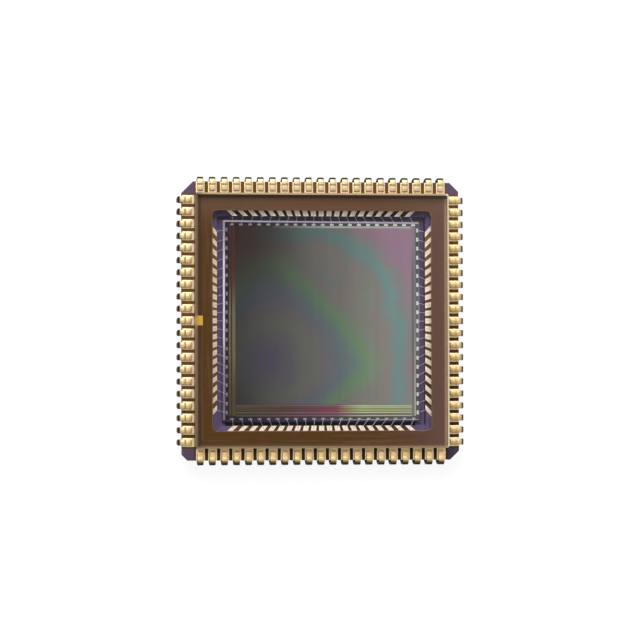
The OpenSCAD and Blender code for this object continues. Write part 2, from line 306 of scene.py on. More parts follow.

# %% [markdown]
# A thin brown film of flux is left on the ledge between the lead pads and on the shelf between
# the fingers, so only their corners show the ceramic's own violet. The film is duller than the
# ceramic. A painted shade makes it darker to the front and right, and darker still on the rear
# shelf, where shade falls.

# %% Lay the film of flux on the ceramic
SHELF_W = 1.0
BARE_CORNER = (8.8, 9.6)
REAR_SHELF = (10.8, 11.0)
FLUX_PAINTED_SHADE = (-10, 18)
FLUX_DULLS = 0.67
on_ledge = ceramic.both(
    ceramic.blend(far_out, HALF_TIER - 0.05, HALF_TIER + 0.05),
    ceramic.blend(far_in, HALF_TIER - 0.1, HALF_TIER + 0.1, 1.0, 0.0),
)
on_shelf = ceramic.both(
    ceramic.within(far_out, HALF_CAVITY, HALF_CAVITY + SHELF_W),
    ceramic.blend(far_in, *BARE_CORNER, 1.0, 0.0),
)
flux = ceramic.mix(cloud, tone(94, 62, 26), tone(124, 88, 44))
# Painted shade: flux darker to the front and right, and on the rear shelf.
flux = ceramic.mix(ceramic.blend(toward_front, *FLUX_PAINTED_SHADE), flux, tone(62, 34, 4))
painted_shade_rear_gaps = ceramic.both(on_shelf, ceramic.blend(ceramic.y, *REAR_SHELF))
flux = ceramic.mix(painted_shade_rear_gaps, flux, tone(52, 32, 10))
stained = ceramic.math("MAXIMUM", on_ledge, on_shelf)
dull = ceramic.math("MAXIMUM", ceramic.math("MULTIPLY", stained, FLUX_DULLS), pit_front_painted_shade)
ceramic.set(
    Base_Color=ceramic.mix(stained, violet, flux),
    Specular_IOR_Level=ceramic.math("MULTIPLY_ADD", dull, -CERAMIC_SHINE, CERAMIC_SHINE),
)
ceramic.relief(grain, 0.012, 0.5)
dress(["ceramic_carrier"], ceramic)

# %% [markdown]
# Leads, braze and printed metal are plated in one bath. The plating is satin, not polished, and
# it isn't even: some leads lean to green, some to pink. One function makes all four golds, and
# a second one, handed to it, adds the tones, painted light and painted shade that only one kind
# of piece has.


# %% Define the gold plating
def gold(name, bright, green, pink, roughness, tones_and_painted_light=None):
    """Plated gold whose hue wanders from lead to lead."""
    made = Finish(name, Metallic=1.0)
    hue = made.noise(0.9, detail=1)
    fine = made.noise(9, detail=3)
    colour = made.ramp(hue, [(0.36, green), (0.5, bright), (0.64, pink)])
    # A second function adds the tones, painted light and painted shade of one kind of piece.
    if tones_and_painted_light:
        colour = tones_and_painted_light(made, colour)
    made.set(
        Base_Color=made.dim(fine, colour, tone(236, 232, 228)),
        Roughness=made.blend(fine, 0.3, 0.7, roughness - 0.05, roughness + 0.05),
    )
    made.relief(made.noise(30, detail=2), 0.002, 0.5)
    return made


# %% [markdown]
# A lead is a little duller from its step outward. Down the leg a painted shade turns the gold
# to a dark bronze, and on the front bends a painted shade turns it to olive. A painted shade
# dulls the right row, and a painted light makes the rear row paler. All of it follows the place
# on the lead, measured from the outer line of the leads. A height alone can't tell the foot from
# the leg, because both lie lower than the bend. So whatever lies further in than the bend keeps
# most of its gold, under a faint painted shade.

# %% Finish the leads and their solder
lead_out = leads_high.x
LEAD_ROW = (lead_out - 1.80, lead_out - 1.60)
FROM_STEP = (lead_out - 0.95, lead_out - 0.65)
TOP_BEND = (lead_out - 0.60, lead_out - 0.50)
FRONT_BEND_PAINTED_SHADE = (-lead_out + 0.25, -lead_out + 0.60)
LEG_PAINTED_SHADE_EDGE = (leads_high.z - 0.13, leads_high.z - 0.04)
FOOT_SHARE = 0.84


def lead_tones_and_painted_light(made, colour):
    """Painted light on the rear row, painted shade on the right row, front bends and legs, and a
    duller tone from the step outward.
    """
    outside, _ = made.from_centre()
    # Painted shade dulls the right row, and painted light makes the rear row paler.
    colour = made.dim(made.blend(made.x, *LEAD_ROW), colour, tone(224, 218, 212))
    colour = made.mix(made.blend(made.y, *LEAD_ROW, 0.0, 0.35), colour, tone(255, 240, 214))
    colour = made.mix(made.blend(outside, *FROM_STEP, 0.0, 0.75), colour, tone(206, 187, 146))
    # Painted shade: olive on the front bends.
    colour = made.mix(made.blend(made.y, *FRONT_BEND_PAINTED_SHADE, 0.9, 0.0), colour, tone(100, 88, 54))
    # Painted shade: dark bronze down the legs, and faint on the foot.
    not_leg = made.math(
        "MAXIMUM", made.blend(made.z, *LEG_PAINTED_SHADE_EDGE), made.blend(outside, *TOP_BEND, FOOT_SHARE, 0.0)
    )
    return made.mix(not_leg, tone(50, 38, 17), colour)


lead_gold = gold(
    "lead_gold", tone(250, 222, 168), tone(244, 222, 158), tone(250, 216, 170), 0.5, lead_tones_and_painted_light
)
braze_gold = gold("braze_gold", tone(244, 224, 184), tone(240, 224, 174), tone(244, 216, 186), 0.56)
print("golds for the leads and the braze are ready")

# %% [markdown]
# The printed metal is paler and a little smoother than the leads. It is one print from the
# finger under the glass to the pad under the lead, so one finish covers both: a painted shade
# dulls the fingers at the left, the pads have the leads' warmer tone, and a painted shade
# darkens the rear pads. The index mark is the same print in a deeper yellow.

# %% Finish the printed metal
LEFT_FINGERS_PAINTED_SHADE = (-10.9, -10.7)
REAR_PADS_PAINTED_SHADE = (13.0, 13.3)


def print_tones_and_painted_shade(made, colour):
    """The painted shade of the left fingers and of the rear pads, and the tone of the pads."""
    outside, _ = made.from_centre()
    # Painted shade: the fingers dull at the left.
    colour = made.dim(made.blend(made.x, *LEFT_FINGERS_PAINTED_SHADE, 1.0, 0.0), colour, tone(226, 218, 206))
    on_pads = made.blend(outside, HALF_TIER - 0.1, HALF_TIER)
    colour = made.mix(on_pads, colour, tone(250, 222, 168))
    # Painted shade: the rear pads darker.
    return made.mix(made.blend(made.y, *REAR_PADS_PAINTED_SHADE), colour, tone(172, 150, 120))


print_gold = gold(
    "print_gold", tone(252, 234, 218), tone(248, 234, 210), tone(252, 230, 224), 0.44, print_tones_and_painted_shade
)
dress(side_nodes("bond_traces"), print_gold)
mark_gold = gold("mark_gold", tone(252, 218, 94), tone(244, 212, 88), tone(252, 216, 104), 0.42)
mark_gold.set(Metallic=0.4)
dress(["index_mark"], mark_gold)

# %% [markdown]
# A J-lead is a stamped strip: a flat foot on the pad, a small step up, a bend over the edge of
# the body, a straight leg that narrows, and a curl that touches the board. Its edges are rolled
# round. It could be cut out of a block, but a strip is easier to sweep: one rounded face is
# extruded along the straight stretches and spun round the bends, and the path shapes the rest.


# %% Sweep a face along a path
def vertices(geometry):
    """The vertices among the new geometry of an operator."""
    return [item for item in geometry if isinstance(item, bmesh.types.BMVert)]


def last_face(geometry):
    """The one face among the new geometry of an operator."""
    return next(item for item in geometry if isinstance(item, bmesh.types.BMFace))


def extrude_by(mesh, face, step):
    """Extrudes one face by a step and gives back the new end face."""
    made = bmesh.ops.extrude_face_region(mesh, geom=[face])["geom"]
    bmesh.ops.translate(mesh, verts=vertices(made), vec=step)
    return last_face(made)


def spin_by(mesh, face, centre, axis, angle, steps):
    """Spins one face by an angle in degrees and gives back the new end face."""
    made = bmesh.ops.spin(
        mesh, geom=[face], cent=centre, axis=axis, dvec=(0, 0, 0),
        angle=math.radians(angle), steps=steps,
    )["geom_last"]
    return last_face(made)


def turn_all(mesh, angle, axis):
    """Turns a whole bmesh round one of its axes, by an angle in degrees."""
    matrix = Matrix.Rotation(math.radians(angle), 3, axis)
    bmesh.ops.rotate(mesh, cent=(0, 0, 0), matrix=matrix, verts=mesh.verts)


def finished_mesh(mesh, name, sharp_degrees=40):
    """Turns a bmesh in millimetres into a smooth-shaded mesh in metres."""
    bmesh.ops.recalc_face_normals(mesh, faces=mesh.faces)
    bmesh.ops.scale(mesh, vec=(MM,) * 3, verts=mesh.verts)
    data = bpy.data.meshes.new(name)
    mesh.to_mesh(data)
    mesh.free()
    for polygon in data.polygons:
        polygon.use_smooth = True
    data.set_sharp_from_angle(angle=math.radians(sharp_degrees))
    return data


# %% [markdown]
# The lead starts as a flat square, scaled to the strip's section, with its corners bevelled
# round. It is stood up at the inner end of the foot and swept outward, over the edge of the body
# and down. The last bevel rounds the foot's own end.

# %% Model one lead
LEAD_W, LEG_W, LEAD_T = 0.64, 0.46, 0.20
EDGE_ROUND, FOOT_END_ROUND = 0.075, 0.05
FOOT_LEN, STEP_AT, STEP_RUN, STEP_RISE = 0.95, 0.55, 0.20, 0.08
TOP_BEND_R, CURL_R, CURL_SWEEP = 0.50, 0.90, 168
BEND_STEPS, CURL_STEPS = 6, 10
SHOULDER_HIGH, SHOULDER_LOW = 2.00, 1.75
ROW_AXIS = Vector((0, 1, 0))
foot_in = HALF_BODY - FOOT_LEN
foot_mid = Vector((foot_in, 0, leads_high.z - STEP_RISE - LEAD_T / 2))
bend_x = lead_out - TOP_BEND_R
bend_z = leads_high.z - TOP_BEND_R
lead = bmesh.new()
bmesh.ops.create_grid(lead, x_segments=1, y_segments=1, size=0.5)
bmesh.ops.scale(lead, vec=(LEAD_T, LEAD_W, 1), verts=lead.verts)
bmesh.ops.bevel(
    lead, geom=lead.verts, offset=EDGE_ROUND, segments=2, profile=0.5, affect="VERTICES",
    material=-1,
)
turn_all(lead, -90, "Y")
bmesh.ops.translate(lead, vec=foot_mid, verts=lead.verts)
end = lead.faces[:][0]
end = extrude_by(lead, end, (STEP_AT, 0, 0))
end = extrude_by(lead, end, (STEP_RUN, 0, STEP_RISE))
end = extrude_by(lead, end, (bend_x - foot_in - STEP_AT - STEP_RUN, 0, 0))
end = spin_by(lead, end, (bend_x, 0, bend_z), ROW_AXIS, 90, BEND_STEPS)
end = extrude_by(lead, end, (0, 0, SHOULDER_HIGH - bend_z))
end = extrude_by(lead, end, (0, 0, SHOULDER_LOW - SHOULDER_HIGH))
bmesh.ops.scale(lead, vec=(1, LEG_W / LEAD_W, 1), verts=end.verts[:])
end = extrude_by(lead, end, (0, 0, CURL_R - SHOULDER_LOW))
curl_centre = (lead_out - CURL_R, 0, CURL_R)
end = spin_by(lead, end, curl_centre, ROW_AXIS, CURL_SWEEP, CURL_STEPS)
foot_end = min(lead.faces, key=lambda face: (face.calc_center_median() - foot_mid).length)
bmesh.ops.bevel(
    lead, geom=foot_end.edges[:], offset=FOOT_END_ROUND, segments=2, profile=0.5,
    affect="EDGES", material=-1,
)
print("one lead has", len(lead.faces), "faces")
lead_mesh = finished_mesh(lead, "lead")

# %% [markdown]
# The foot stands in a puddle of braze that wets the pad and climbs the foot's sides in a hollow
# fillet. Its size follows from the pad and the foot: the fillet runs from the edge of the puddle
# up to the foot, and a hair under it, so no gap can open between the two.

# %% Measure the puddle
LEADS_A_SIDE = 21
LAST = LEADS_A_SIDE // 2
PITCH = 1.27
FILLET_STEPS = 4
FILLET_RISE, END_RISE, FILLET_SKIRT = 0.08, 0.02, 0.02
PUDDLE_CORNER = 0.08
LAP = 0.01
braze_half_w = braze_high.y - LAST * PITCH
side_run = braze_half_w - LEAD_W / 2 + LAP
end_run = foot_in - braze_low.x + LAP


def puddle_span(drawn_in):
    """The puddle's ends and half width when its outline is drawn in by a share of the runs."""
    return Vector((
        braze_low.x + end_run * drawn_in, braze_high.x - side_run * drawn_in,
        braze_half_w - side_run * drawn_in,
    ))


print("the fillet covers", round(side_run, 3), "mm of the pad beside the foot")

# %% [markdown]
# A fillet could be cut with a round tool, but a hollow is easier to build in steps. The puddle's
# outline is extruded upward a few times, and each time drawn in and raised along a quarter
# circle. At the inner end it runs out long and flat. A last step sinks the bed that the foot
# lies in.

# %% Model one solder fillet
braze = bmesh.new()
bmesh.ops.create_grid(braze, x_segments=1, y_segments=1, size=0.5)
start, stop, half_w = puddle_span(0)
bmesh.ops.scale(braze, vec=(stop - start, 2 * half_w, 1), verts=braze.verts)
bmesh.ops.bevel(
    braze, geom=braze.verts, offset=PUDDLE_CORNER, segments=3, profile=0.5, affect="VERTICES",
    material=-1,
)
bmesh.ops.translate(braze, vec=((start + stop) / 2, 0, braze_low.z), verts=braze.verts)
puddle = extrude_by(braze, braze.faces[:][0], (0, 0, FILLET_SKIRT))
for step in range(FILLET_STEPS):
    before, after = (math.radians(90 * s / FILLET_STEPS) for s in (step, step + 1))
    old, new = puddle_span(math.sin(before)), puddle_span(math.sin(after))
    puddle = extrude_by(
        braze, puddle, (0, 0, FILLET_RISE * (math.cos(before) - math.cos(after)))
    )
    bmesh.ops.scale(
        braze, vec=((new.y - new.x) / (old.y - old.x), new.z / old.z, 1), verts=puddle.verts[:],
        space=Matrix.Translation((-(old.x + old.y) / 2, 0, 0)),
    )
    bmesh.ops.translate(
        braze, vec=((new.x + new.y - old.x - old.y) / 2, 0, 0), verts=puddle.verts[:]
    )
skirt_z = braze_low.z + FILLET_SKIRT
above_skirt = Matrix.Translation((0, 0, -skirt_z))
END_ZONE = foot_in + 0.1
low_end = [v for v in braze.verts if v.co.x < END_ZONE and v.co.z > skirt_z]
bmesh.ops.scale(braze, vec=(1, 1, END_RISE / FILLET_RISE), verts=low_end, space=above_skirt)
bmesh.ops.inset_region(braze, faces=[puddle], thickness=LAP, use_even_offset=True)
bmesh.ops.scale(braze, vec=(1, 1, 0), verts=puddle.verts[:], space=above_skirt)
print("one fillet has", len(braze.faces), "faces")
braze_mesh = finished_mesh(braze, "solder_fillet", 60)

# %% [markdown]
# A side has 21 leads at one spacing, and the four sides differ by a quarter turn. So both
# patterns are copied along a row and turned, and each row becomes one piece, as in the frame.


# %% Copy the pieces along the four sides
def copy_rows(kind, pattern, finish):
    """One object a side, with a copy of the pattern at every lead, in place of the CAD node."""
    for quarter, side in enumerate(SIDES):
        row = bmesh.new()
        for k in range(-LAST, LAST + 1):
            along = Matrix.Translation((0, k * PITCH * MM, 0))
            copy = pattern.copy()
            copy.transform(Matrix.Rotation(math.radians(90 * quarter), 4, "Z") @ along)
            row.from_mesh(copy)
            bpy.data.meshes.remove(copy)
        data = bpy.data.meshes.new(f"{kind}_row_{side}")
        row.to_mesh(data)
        row.free()
        data.materials.append(finish.material)
        piece = bpy.data.objects.new(f"{kind}_row_{side}", data)
        bpy.context.scene.collection.objects.link(piece)
        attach(piece, "root")
        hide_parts(f"{kind}_{side}")
    print(kind, "rows of", LEADS_A_SIDE, "each")


copy_rows("leads", lead_mesh, lead_gold)
copy_rows("braze", braze_mesh, braze_gold)

# %% [markdown]
# Seen through the glass, the brown frame round the opening is the adhesive that holds the
# window. It's a cured resin: glossy, nearly even, and streaked along the frame, so the streaks
# are noise drawn out along the side they are on. The frame is paler to the right and rear. A
# painted light makes it paler at its outer edge, most of all at the right, and two lines of
# painted shade run along its left and rear edges.

# %% Finish the adhesive
RIGHT_TINT, REAR_TINT = (6, 14), (9, 14)
OUTER_PAINTED_LIGHT = (12.75, 13.25)
RIGHT_PAINTED_LIGHT = (12.8, 13.0)
REAR_PAINTED_SHADE = (12.7, 12.9)
LEFT_PAINTED_SHADE = (-13.0, -12.7)
adhesive = Finish("cured_resin", Roughness=0.28, Specular_IOR_Level=0.3)
resin = adhesive.ramp(adhesive.noise(0.5, detail=4), [
    (0.3, tone(114, 72, 42)), (0.5, tone(104, 68, 28)), (0.7, tone(102, 74, 26)),
])
sideways = adhesive.math(
    "SUBTRACT", adhesive.math("ABSOLUTE", adhesive.x), adhesive.math("ABSOLUTE", adhesive.y)
)
streaks = adhesive.mix(
    adhesive.blend(sideways, -0.2, 0.2),
    adhesive.noise(2.5, detail=3, stretch=(0.04, 1, 1)),
    adhesive.noise(2.5, detail=3, stretch=(1, 0.04, 1)),
)
resin = adhesive.mix(adhesive.blend(streaks, 0.5, 0.72, 0.0, 0.3), resin, tone(150, 118, 92))
resin = adhesive.mix(adhesive.blend(adhesive.x, *RIGHT_TINT), resin, tone(126, 92, 82))
resin = adhesive.mix(adhesive.blend(adhesive.y, *REAR_TINT), resin, tone(138, 102, 78))
edge, _ = adhesive.from_centre()
# Painted light: paler at the outer edge, and most of all at the right.
resin = adhesive.mix(adhesive.blend(edge, *OUTER_PAINTED_LIGHT), resin, tone(138, 108, 78))
resin = adhesive.mix(adhesive.blend(adhesive.x, *RIGHT_PAINTED_LIGHT), resin, tone(182, 150, 118))
# Painted shade: lines along the left and rear edges.
painted_shade_left = adhesive.math("MULTIPLY", adhesive.within(adhesive.x, *LEFT_PAINTED_SHADE, 0.08), 0.5)
resin = adhesive.mix(painted_shade_left, resin, tone(80, 56, 30))
painted_shade_rear = adhesive.blend(adhesive.y, *REAR_PAINTED_SHADE, 0.0, 0.75)
resin = adhesive.mix(painted_shade_rear, resin, tone(62, 40, 28))
adhesive.set(Base_Color=resin)
dress(["window_adhesive"], adhesive)

# %% [markdown]
# Where the window was pressed down, a little resin squeezed out into the opening and drew
# itself round. The bead is swept like the leads: a small round face goes along one straight
# side and round one corner, four times, until it meets its own start.

# %% Model the bead
BEAD_R, BEAD_SET_IN, CORNER_STEPS = 0.055, 0.08, 8
TIER_WALL, OPENING_CORNER_R = 1.70, 0.70
half_opening = HALF_TIER - TIER_WALL
bead_line = half_opening - BEAD_SET_IN
bend_at = half_opening - OPENING_CORNER_R
bead = bmesh.new()
bmesh.ops.create_circle(bead, cap_ends=True, radius=BEAD_R, segments=10)
turn_all(bead, 90, "X")
bmesh.ops.translate(bead, vec=(bead_line, -bend_at, glue_high.z - BEAD_R), verts=bead.verts)
end = bead.faces[:][0]
heading = Vector((0, 2 * bend_at, 0))
centre = Vector((bend_at, bend_at, 0))
quarter_turn = Matrix.Rotation(math.radians(90), 3, "Z")
for _ in SIDES:
    end = extrude_by(bead, end, heading)
    end = spin_by(bead, end, centre, (0, 0, 1), 90, CORNER_STEPS)
    heading = quarter_turn @ heading
    centre = quarter_turn @ centre
caps = [f for f in bead.faces if len(f.verts) > 4]
bmesh.ops.delete(bead, geom=caps, context="FACES_ONLY")
bmesh.ops.remove_doubles(bead, verts=bead.verts, dist=0.002)
open_edges = sum(e.is_boundary for e in bead.edges)
print("the bead has", len(bead.faces), "faces and", open_edges, "open edges")
bead_data = finished_mesh(bead, "window_bead")

# %% [markdown]
# The bead is the same resin in a thicker, darker roll, so a soft two-tone noise is enough. It
# has no solid of its own in the frame, so it replaces nothing.

# %% Finish the bead
bead_finish = Finish("resin_bead", Roughness=0.4)
bead_finish.set(Base_Color=bead_finish.mix(
    bead_finish.noise(1.5), tone(88, 64, 44), tone(112, 86, 64)
))
bead_data.materials.append(bead_finish.material)
bead_piece = bpy.data.objects.new("window_bead", bead_data)
bpy.context.scene.collection.objects.link(bead_piece)
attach(bead_piece, "root")
print("the bead rides on the carrier")

# %% [markdown]
# A grey paste holds the die. Only a thin fillet of it shows round the die's foot, and it is
# painted violet for the light that the pit throws back on it.

# %% Finish the die adhesive
paste = Finish("die_paste", Roughness=0.55)
# Painted light: the grey paste coloured violet for the light the pit throws back.
paste.set(Base_Color=paste.mix(paste.noise(6), tone(52, 40, 66), tone(78, 62, 94)))
dress(["die_attach"], paste)

# %% [markdown]
# The pads on the die are bare aluminium, and so are the wires. A painted light makes both
# brighter on the right than on the left, and a painted shade makes the front row of pads
# darker than the others.

# %% Finish the aluminium
FRONT_PADS_PAINTED_SHADE = (-10.2, -10.0)
pads = Finish("pad_aluminium", Metallic=0.3, Roughness=0.4)
# Painted light: the pads brighter on the right.
pad_colour_painted_light = pads.mix(pads.blend(pads.x, -10.5, 10.5), tone(104, 96, 104), tone(196, 196, 196))
# Painted shade: the front row of pads darker.
front_painted_shade = pads.blend(pads.y, *FRONT_PADS_PAINTED_SHADE, 0.75, 0.0)
pads.set(Base_Color=pads.mix(front_painted_shade, pad_colour_painted_light, tone(98, 92, 116)))
dress(side_nodes("die_pads"), pads)
wire = Finish("drawn_aluminium", Metallic=1.0, Roughness=0.3)
wire_colour = wire.mix(wire.noise(4), tone(176, 168, 186), tone(216, 210, 220))
# Painted shade: the wires dimmer on the left.
left_painted_shade = wire.blend(wire.x, -10.5, 2.0, 1.0, 0.0)
wire.set(Base_Color=wire.dim(left_painted_shade, wire_colour, tone(226, 218, 218)))
dress(side_nodes("bond_wires"), wire)

# %% [markdown]
# The die is the face of the part. Its array of fine cells acts as a grating and splits the
# light into rings of soft colour round one point, low on the left; these rings of light are
# painted into the die's colour. The rings aren't quite round, so the finish works out the
# distance from that point and pulls it in or out towards the corners. A colour is then read off
# a ramp by that distance. A picture of the rings would be quicker, but it would only hold for
# one size and one array.

# %% Work out the rings
RING_CENTRE = Vector((-5.35, -4.55))
FRONT_STRETCH, REAR_STRETCH = 1.25, 0.98
NEAR_PULL, FAR_PULL = 0.5, 0.7
RING_DRIFT = 2.6
silicon = Finish("silicon_die", Roughness=0.15, IOR=1.45)
ring_x = silicon.math("ABSOLUTE", silicon.math("SUBTRACT", silicon.x, RING_CENTRE.x))
ring_y = silicon.math("SUBTRACT", silicon.y, RING_CENTRE.y)
stretch = silicon.blend(ring_y, -0.5, 0.5, FRONT_STRETCH, REAR_STRETCH)
ring_y = silicon.math("MULTIPLY", silicon.math("ABSOLUTE", ring_y), stretch)
square = silicon.math(
    "ADD", silicon.math("MULTIPLY", ring_x, ring_x), silicon.math("MULTIPLY", ring_y, ring_y)
)
circle = silicon.math("SQRT", square)
slanting = silicon.math("DIVIDE", silicon.math("MULTIPLY", ring_x, ring_y), square)
pull = silicon.math(
    "SUBTRACT",
    silicon.blend(circle, 4.0, 7.5, 0.0, NEAR_PULL),
    silicon.blend(circle, 9.0, 13.5, 0.0, FAR_PULL),
)
ring = silicon.math("MULTIPLY", circle, silicon.math("MULTIPLY_ADD", slanting, pull, 1.0))
drift = silicon.math("SUBTRACT", silicon.noise(0.3, detail=3), 0.5)
ring = silicon.math("MULTIPLY_ADD", drift, RING_DRIFT, ring)
print("rings run round", tuple(round(c, 2) for c in RING_CENTRE), "on the die")

# %% [markdown]
# Each stop of the ramp is a distance in millimetres and the colour there. A painted light
# makes the array darkest at the left and lighter to the right, and a painted shade makes both
# left corners darker still. Long faint streaks run along the columns of cells.

# %% Colour the array
RING_REACH = 20.0
RINGS_MM = [
    (0.4, tone(124, 112, 144)), (2.2, tone(128, 122, 134)), (4.2, tone(132, 134, 122)),
    (5.7, tone(134, 125, 129)), (7.2, tone(120, 124, 136)), (8.8, tone(116, 130, 132)),
    (10.5, tone(118, 146, 112)), (11.5, tone(130, 134, 124)), (12.1, tone(137, 127, 122)),
    (12.7, tone(122, 132, 131)), (13.4, tone(109, 141, 139)), (14.3, tone(128, 130, 128)),
    (15.3, tone(147, 119, 135)), (18.5, tone(152, 118, 144)),
]
# Painted light: the grating's rings of colour.
rings = silicon.ramp(
    silicon.math("DIVIDE", ring, RING_REACH), [(mm / RING_REACH, hue) for mm, hue in RINGS_MM]
)
across = silicon.blend(silicon.x, -10, 10)
# Painted light: the array lighter from left to right.
painted_light_to_right = silicon.levels(across, [
    (0.0, 0.13), (0.1, 0.21), (0.35, 0.34), (0.65, 0.48), (0.85, 0.64), (1.0, 0.76),
])
array_colour = silicon.dim(1.0, rings, painted_light_to_right)
# Painted shade: both left corners darker.
painted_shade_rear_left = silicon.both(
    silicon.blend(silicon.x, -9, 0, 1.0, 0.0), silicon.blend(silicon.y, 1, 9)
)
array_colour = silicon.mix(painted_shade_rear_left, array_colour, tone(38, 24, 20))
painted_shade_front_left = silicon.both(
    silicon.blend(silicon.x, -9.5, -5, 1.0, 0.0), silicon.blend(silicon.y, -8.5, -4, 1.0, 0.0)
)
array_colour = silicon.dim(painted_shade_front_left, array_colour, tone(214, 208, 206))
columns = silicon.noise(1.4, detail=4, stretch=(1, 0.06, 1))
faint = silicon.blend(columns, 0.35, 0.65, 0.0, 0.15)
array_colour = silicon.dim(faint, array_colour, tone(212, 212, 212))
print("the ramp has", len(RINGS_MM), "stops and reaches", RING_REACH, "mm")

# %% [markdown]
# Round the array the die has strips with colours of their own: a driver strip on the left, two
# rails on the right and a fine line at the rear. Each is a rectangle on the die, given by two
# corners, so they are laid over the bare silicon one after another, and the array among them.
# A painted light makes the bare silicon lighter from left to right, and brighter still
# between the pads at the right.

# %% Colour the strips beside the array
ARRAY_MARGIN = {"left": 1.37, "right": 0.83, "front": 1.75, "rear": 0.58}
array_low = Vector((die_low.x + ARRAY_MARGIN["left"], die_low.y + ARRAY_MARGIN["front"]))
array_high = Vector((die_high.x - ARRAY_MARGIN["right"], die_high.y - ARRAY_MARGIN["rear"]))
INNER_RAIL = ((9.56, -10.0), (9.80, 9.95))
OUTER_RAIL = ((9.82, -9.98), (9.97, 9.90))
RIGHT_PADS, PADS_PAINTED_LIGHT = (9.98, 10.28), ((10.0, -4.0), (10.3, 4.0))
DRIVER, DRIVER_GROOVE = ((-9.73, -9.98), (-9.05, 9.93)), (-9.55, -9.38)
REAR_LINE = ((-5.0, 9.75), (9.5, 9.94))

# Painted light: the bare silicon lighter from left to right.
skin = silicon.mix(silicon.blend(silicon.x, -10.4, 10.4), tone(26, 14, 26), tone(70, 66, 70))
rear_ward = silicon.blend(silicon.y, -9, 9)
inner_rail = silicon.ramp(rear_ward, [
    (0.0, tone(102, 98, 98)), (0.3, tone(94, 88, 90)), (0.6, tone(90, 90, 90)),
    (0.85, tone(94, 82, 94)), (1.0, tone(120, 104, 120)),
])
skin = silicon.mix(silicon.patch(*INNER_RAIL), skin, inner_rail)
# Painted light: the bare silicon brighter between the pads at the right.
pads_painted_light = silicon.both(
    silicon.patch(*PADS_PAINTED_LIGHT, soft=2.5), silicon.within(silicon.x, *RIGHT_PADS)
)
skin = silicon.mix(pads_painted_light, skin, tone(118, 120, 118))
skin = silicon.mix(silicon.patch(array_low, array_high), skin, array_colour)

driver = silicon.ramp(rear_ward, [
    (0.0, tone(64, 58, 36)), (0.2, tone(93, 86, 58)), (0.6, tone(95, 88, 68)),
    (0.85, tone(66, 36, 28)), (1.0, tone(54, 26, 22)),
])
driver = silicon.mix(silicon.within(silicon.x, *DRIVER_GROOVE, 0.04), driver, tone(46, 32, 24))
skin = silicon.mix(silicon.patch(*DRIVER), skin, driver)

outer_rail = silicon.mix(
    silicon.blend(silicon.y, -9, 3), tone(156, 150, 136), tone(110, 106, 110)
)
skin = silicon.mix(silicon.patch(*OUTER_RAIL), skin, outer_rail)
rear_line = silicon.both(silicon.patch(*REAR_LINE), silicon.blend(silicon.x, -5, 3, 0.1, 1.0))
skin = silicon.mix(rear_line, skin, tone(148, 154, 142))
print("the array measures", tuple(round(c, 2) for c in array_high - array_low), "mm")

# %% [markdown]
# In front of the array lie the registers, seven bands of three kinds. From left to right two
# kinds, one lighter than the other, turn from olive over wine red to a pale green. The third is
# the darkest, and ends in a greyed red.

# %% Colour the registers
band_hue = silicon.ramp(across, [
    (0.0, tone(68, 58, 28)), (0.2, tone(66, 50, 36)), (0.42, tone(92, 50, 62)),
    (0.62, tone(112, 54, 66)), (0.8, tone(142, 156, 98)), (1.0, tone(144, 150, 106)),
])
light_hue = silicon.ramp(across, [
    (0.0, tone(80, 70, 54)), (0.42, tone(108, 76, 86)), (0.62, tone(122, 80, 92)),
    (0.8, tone(160, 168, 134)), (1.0, tone(158, 160, 132)),
])
dark_hue = silicon.ramp(across, [
    (0.0, tone(48, 40, 26)), (0.42, tone(86, 50, 62)), (1.0, tone(108, 88, 92)),
])
BANDS = [
    (-8.94, -8.82, light_hue), (-9.20, -8.96, band_hue), (-9.31, -9.27, light_hue),
    (-9.46, -9.33, band_hue), (-9.68, -9.53, light_hue), (-9.86, -9.74, dark_hue),
    (-9.99, -9.88, light_hue),
]
for low_y, high_y, hue in BANDS:
    skin = silicon.mix(silicon.patch((array_low.x, low_y), (array_high.x, high_y)), skin, hue)
print("the registers have", len(BANDS), "bands")

# %% [markdown]
# A seal line runs along the die's edges, with a painted highlight on it that is strongest at
# the left and rear. At the right the highlight is fainter and fades to both corners. At the
# front only a thin line of it shows, and a painted shade darkens the rim beyond it.

# %% Colour the seal
SEAL_LEFT = ((-10.36, -10.4), (-10.14, 10.46))
SEAL_RIGHT = ((10.29, -10.3), (10.5, 10.4))
SEAL_FRONT = ((-2.0, -10.42), (10.3, -10.33))
SEAL_REAR, SEAL_REAR_ENDS, SEAL_REAR_SLANT = (10.29, 10.45), (-10.3, 10.3), 0.006
FRONT_RIM_PAINTED_SHADE = (-10.42, -10.38)
along = silicon.blend(silicon.y, -10.5, 10.5)
# Painted highlight on the seal line, strongest at the left and rear.
left_painted_highlight = silicon.levels(along, [(0.0, 0.25), (0.2, 0.4), (0.42, 1), (0.9, 1), (1.0, 0.5)])
skin = silicon.mix(
    silicon.both(silicon.patch(*SEAL_LEFT), left_painted_highlight), skin, tone(202, 188, 204)
)
slant = silicon.math("MULTIPLY_ADD", silicon.x, SEAL_REAR_SLANT, silicon.y)
seal_rear = silicon.both(
    silicon.within(slant, *SEAL_REAR, 0.04), silicon.within(silicon.x, *SEAL_REAR_ENDS)
)
skin = silicon.mix(silicon.math("MULTIPLY", seal_rear, 0.9), skin, tone(176, 164, 178))
# Painted shade: the dark rim at the front.
skin = silicon.mix(silicon.blend(silicon.y, *FRONT_RIM_PAINTED_SHADE, 1.0, 0.0), skin, tone(34, 26, 42))
seal_front = silicon.both(silicon.patch(*SEAL_FRONT), silicon.blend(silicon.x, -2, 4))
skin = silicon.mix(seal_front, skin, tone(146, 140, 158))
